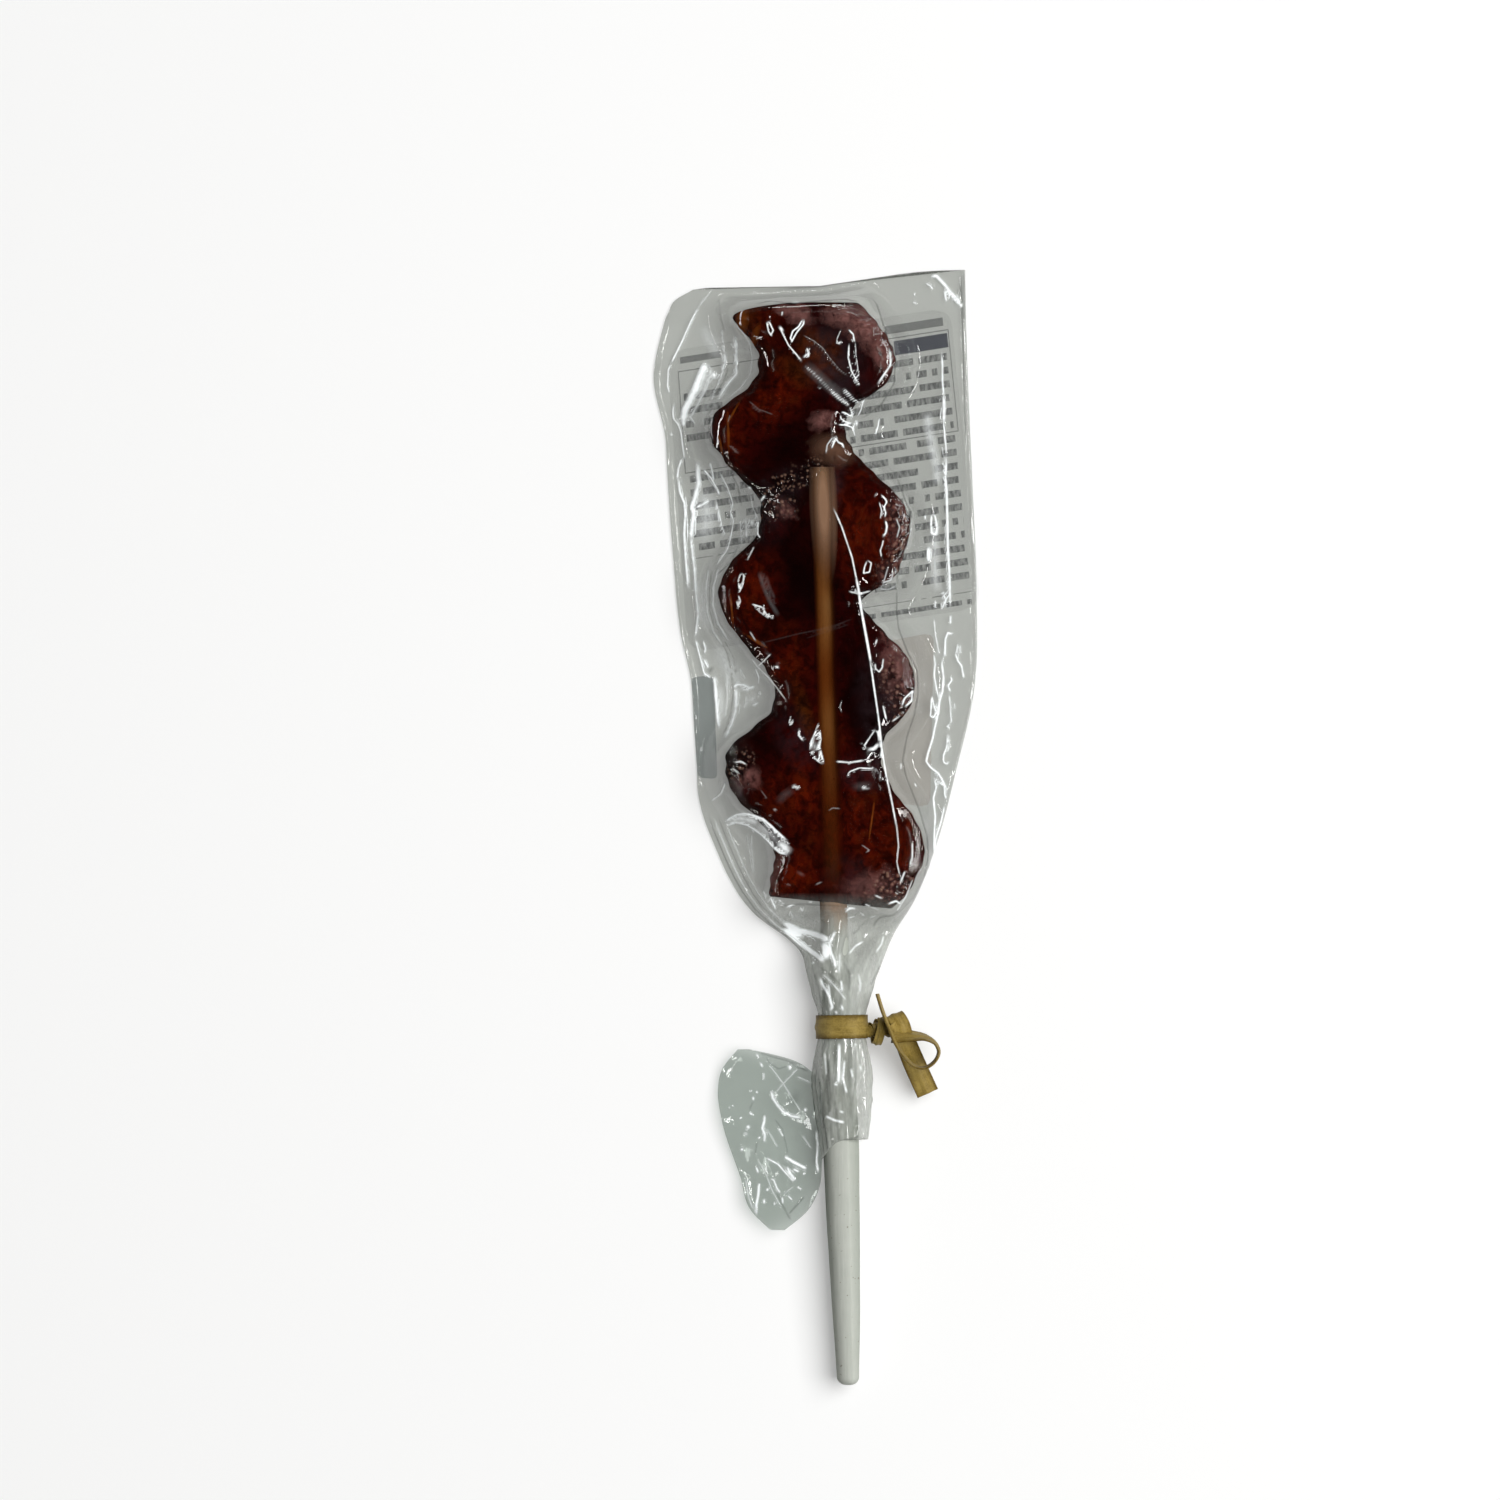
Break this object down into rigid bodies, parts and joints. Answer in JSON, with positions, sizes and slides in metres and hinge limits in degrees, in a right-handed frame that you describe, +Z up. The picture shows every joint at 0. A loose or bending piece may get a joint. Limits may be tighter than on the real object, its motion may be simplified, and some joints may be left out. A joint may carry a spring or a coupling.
{
  "type": "lollipop",
  "caption": "Wavy strip of dark amber hard candy on a white paper stick, in a clear film bag gathered at the neck and closed with a paper twist tie.",
  "frame": {"origin": "on the surface the lollipop lies on, under the middle of its box", "axes": "+Y along the stick towards the candy, +Z up from the surface towards the shown side, +X to the right seen from above"},
  "size_m": [0.0546, 0.1858, 0.0109],
  "materials": {
    "candy": "glossy translucent boiled sugar, dark amber to red brown, with dull pink patches",
    "stick": "matt white rolled paper",
    "film": "clear glossy film with creases",
    "tie": "tan kraft paper ribbon with a wire core"
  },
  "bodies": {
    "root": {"candy": "candy", "stick": "stick", "bag": "film", "tie": "tie"}
  },
  "joints": []
}
